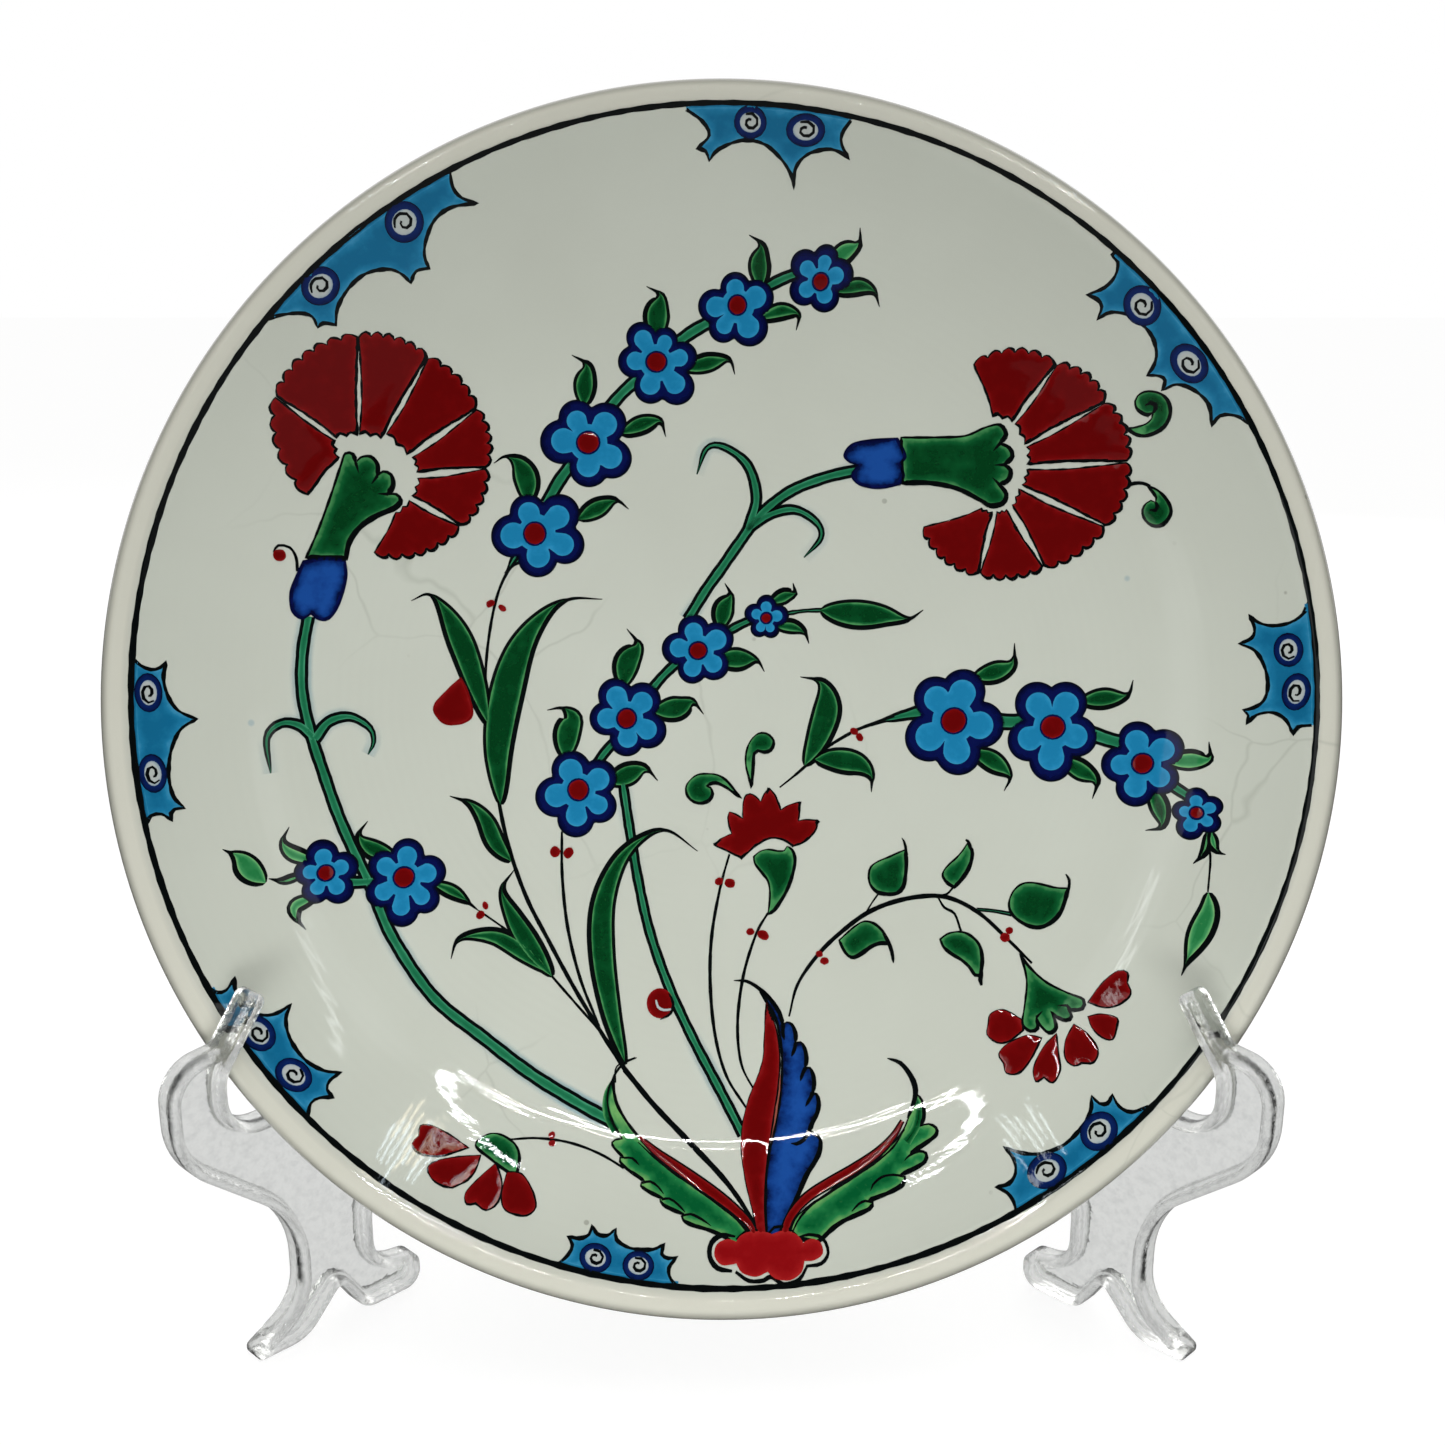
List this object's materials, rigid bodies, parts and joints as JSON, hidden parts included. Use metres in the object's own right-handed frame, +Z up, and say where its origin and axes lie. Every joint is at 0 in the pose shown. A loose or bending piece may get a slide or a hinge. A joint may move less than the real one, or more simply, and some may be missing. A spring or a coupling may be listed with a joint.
{
  "type": "decorated ceramic dish on a folding stand",
  "caption": "Shallow round ceramic dish painted with flowers, leaning on a clear folding stand of two hinged halves.",
  "frame": {"origin": "on the table, in the middle of the footprint of the whole object's bounding box", "axes": "+Z up, the dish faces -Y and leans back towards +Y, +X to the right of someone looking at the dish"},
  "size_m": [0.3, 0.1322, 0.307],
  "materials": {
    "glazed_body": "glossy transparent glaze over a cream white body with underglaze painting",
    "clear_plastic": "clear moulded polystyrene with polished edges and a finely textured web",
    "pin_plastic": "clear moulded plastic"
  },
  "bodies": {
    "hinge": {"hinge_pin": "pin_plastic"},
    "left_half": {"stand_left_half": "clear_plastic"},
    "right_half": {"stand_right_half": "clear_plastic"},
    "dish": {"dish": "glazed_body"}
  },
  "joints": [
    {"name": "dish_lift", "type": "slide", "parent": "hinge", "child": "dish", "axis": [0, 0.1564, 0.9877], "range_m": [0, 0.3]},
    {"name": "left_fold", "type": "hinge", "parent": "hinge", "child": "left_half", "pos_m": [0, 0.06164, 0.075], "axis": [0, 0, 1], "range_deg": [0, 45]},
    {"name": "right_fold", "type": "hinge", "parent": "hinge", "child": "right_half", "pos_m": [0, 0.06164, 0.075], "axis": [0, 0, -1], "range_deg": [0, 45]}
  ],
  "couplings": [
    {"joint": "left_fold", "follows": "dish_lift", "rad_per_m": 2.61},
    {"joint": "right_fold", "follows": "dish_lift", "rad_per_m": 2.61}
  ]
}
